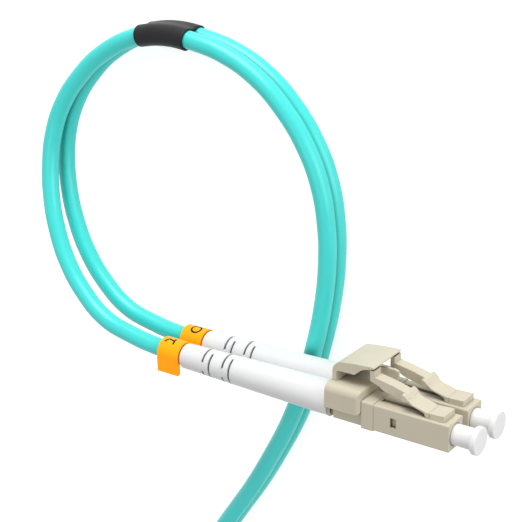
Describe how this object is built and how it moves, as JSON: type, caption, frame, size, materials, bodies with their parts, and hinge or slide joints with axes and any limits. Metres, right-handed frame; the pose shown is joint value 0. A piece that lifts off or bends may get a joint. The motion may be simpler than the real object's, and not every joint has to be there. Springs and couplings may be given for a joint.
{
  "type": "fibre optic patch cord",
  "caption": "Duplex fibre optic patch cord: paired latch plugs in a clip with a shared trigger at each end, dust caps, long boots, markers, split sleeves and a coiled zip cord.",
  "frame": {"origin": "midway between the two ferrule axes of the near duplex end, in the plane of the plugs' front faces", "axes": "+X out of the plugs' front faces along the ferrules, +Y towards the latches and the trigger, +Z from the lower plug to the upper one"},
  "size_m": [0.0976, 0.1994, 0.0185],
  "materials": {
    "beige_plastic": "satin",
    "white_elastomer": "satin",
    "white_plastic": "gloss",
    "aqua_jacket": "satin",
    "aqua_buffer": "satin",
    "orange_plastic": "gloss",
    "black_heat_shrink": "satin",
    "hook_and_loop": "matte",
    "zirconia": "polished",
    "nickel": "satin",
    "spring_steel": "satin",
    "crimp_metal": "satin"
  },
  "bodies": {
    "cord_assembly": {"near_front_housing_a": "beige_plastic", "near_front_housing_b": "beige_plastic", "near_ferrule_spring_a": "spring_steel", "near_ferrule_spring_b": "spring_steel", "near_rear_body_a": "beige_plastic", "near_rear_body_b": "beige_plastic", "near_crimp_sleeve_a": "crimp_metal", "near_crimp_sleeve_b": "crimp_metal", "near_boot_a": "white_elastomer", "near_boot_b": "white_elastomer", "near_buffered_fibre_a": "aqua_buffer", "near_buffered_fibre_b": "aqua_buffer", "near_marker_a": "orange_plastic", "near_marker_b": "orange_plastic", "near_leg_a": "aqua_jacket", "near_leg_b": "aqua_jacket", "far_front_housing_a": "beige_plastic", "far_front_housing_b": "beige_plastic", "far_ferrule_spring_a": "spring_steel", "far_ferrule_spring_b": "spring_steel", "far_rear_body_a": "beige_plastic", "far_rear_body_b": "beige_plastic", "far_crimp_sleeve_a": "crimp_metal", "far_crimp_sleeve_b": "crimp_metal", "far_boot_a": "white_elastomer", "far_boot_b": "white_elastomer", "far_buffered_fibre_a": "aqua_buffer", "far_buffered_fibre_b": "aqua_buffer", "far_marker_a": "orange_plastic", "far_marker_b": "orange_plastic", "far_leg_a": "aqua_jacket", "far_leg_b": "aqua_jacket", "near_clip_body": "beige_plastic", "near_split_sleeve": "black_heat_shrink", "far_clip_body": "beige_plastic", "far_split_sleeve": "black_heat_shrink", "zip_cord": "aqua_jacket", "zip_cord_tail": "aqua_jacket", "cord_coil": "aqua_jacket", "coil_tie": "hook_and_loop"},
    "near_trigger": {"near_trigger": "beige_plastic"},
    "near_latch_lever_a": {"near_latch_lever_a": "beige_plastic"},
    "near_ferrule_assembly_a": {"near_ferrule_a": "zirconia", "near_ferrule_hub_a": "nickel"},
    "near_dust_cap_a": {"near_dust_cap_a": "white_plastic"},
    "near_latch_lever_b": {"near_latch_lever_b": "beige_plastic"},
    "near_ferrule_assembly_b": {"near_ferrule_b": "zirconia", "near_ferrule_hub_b": "nickel"},
    "near_dust_cap_b": {"near_dust_cap_b": "white_plastic"},
    "far_trigger": {"far_trigger": "beige_plastic"},
    "far_latch_lever_a": {"far_latch_lever_a": "beige_plastic"},
    "far_ferrule_assembly_a": {"far_ferrule_a": "zirconia", "far_ferrule_hub_a": "nickel"},
    "far_dust_cap_a": {"far_dust_cap_a": "white_plastic"},
    "far_latch_lever_b": {"far_latch_lever_b": "beige_plastic"},
    "far_ferrule_assembly_b": {"far_ferrule_b": "zirconia", "far_ferrule_hub_b": "nickel"},
    "far_dust_cap_b": {"far_dust_cap_b": "white_plastic"}
  },
  "joints": [
    {"name": "near_trigger_press", "type": "hinge", "parent": "cord_assembly", "child": "near_trigger", "pos_m": [-0.02085, 0.00375, 0], "axis": [0, 0, -1], "range_deg": [0, 8], "stiffness_Nm_per_rad": 0.05},
    {"name": "near_latch_bend_a", "type": "hinge", "parent": "cord_assembly", "child": "near_latch_lever_a", "pos_m": [-0.004, 0.00272, 0.00313], "axis": [0, 0, 1], "range_deg": [0, 6]},
    {"name": "near_ferrule_float_a", "type": "slide", "parent": "cord_assembly", "child": "near_ferrule_assembly_a", "axis": [-1, 0, 0], "range_m": [0, 0.0008], "stiffness_N_per_m": 1000, "deforming": ["near_ferrule_spring_a"]},
    {"name": "near_dust_cap_pull_a", "type": "slide", "parent": "cord_assembly", "child": "near_dust_cap_a", "axis": [1, 0, 0], "range_m": [0, 0.012]},
    {"name": "near_latch_bend_b", "type": "hinge", "parent": "cord_assembly", "child": "near_latch_lever_b", "pos_m": [-0.004, 0.00272, -0.00313], "axis": [0, 0, 1], "range_deg": [0, 6]},
    {"name": "near_ferrule_float_b", "type": "slide", "parent": "cord_assembly", "child": "near_ferrule_assembly_b", "axis": [-1, 0, 0], "range_m": [0, 0.0008], "stiffness_N_per_m": 1000, "deforming": ["near_ferrule_spring_b"]},
    {"name": "near_dust_cap_pull_b", "type": "slide", "parent": "cord_assembly", "child": "near_dust_cap_b", "axis": [1, 0, 0], "range_m": [0, 0.012]},
    {"name": "far_trigger_press", "type": "hinge", "parent": "cord_assembly", "child": "far_trigger", "pos_m": [0.00575, -0.05485, -0.00632], "axis": [0, 0, 1], "range_deg": [0, 8], "stiffness_Nm_per_rad": 0.05},
    {"name": "far_latch_bend_a", "type": "hinge", "parent": "cord_assembly", "child": "far_latch_lever_a", "pos_m": [0.00472, -0.038, -0.00945], "axis": [0, 0, -1], "range_deg": [0, 6]},
    {"name": "far_ferrule_float_a", "type": "slide", "parent": "cord_assembly", "child": "far_ferrule_assembly_a", "axis": [0, -1, 0], "range_m": [0, 0.0008], "stiffness_N_per_m": 1000, "deforming": ["far_ferrule_spring_a"]},
    {"name": "far_dust_cap_pull_a", "type": "slide", "parent": "cord_assembly", "child": "far_dust_cap_a", "axis": [0, 1, 0], "range_m": [0, 0.012]},
    {"name": "far_latch_bend_b", "type": "hinge", "parent": "cord_assembly", "child": "far_latch_lever_b", "pos_m": [0.00472, -0.038, -0.00319], "axis": [0, 0, -1], "range_deg": [0, 6]},
    {"name": "far_ferrule_float_b", "type": "slide", "parent": "cord_assembly", "child": "far_ferrule_assembly_b", "axis": [0, -1, 0], "range_m": [0, 0.0008], "stiffness_N_per_m": 1000, "deforming": ["far_ferrule_spring_b"]},
    {"name": "far_dust_cap_pull_b", "type": "slide", "parent": "cord_assembly", "child": "far_dust_cap_b", "axis": [0, 1, 0], "range_m": [0, 0.012]}
  ],
  "couplings": [
    {"joint": "near_latch_bend_a", "follows": "near_trigger_press", "ratio": 0.7},
    {"joint": "near_latch_bend_b", "follows": "near_trigger_press", "ratio": 0.7},
    {"joint": "far_latch_bend_a", "follows": "far_trigger_press", "ratio": 0.7},
    {"joint": "far_latch_bend_b", "follows": "far_trigger_press", "ratio": 0.7}
  ]
}
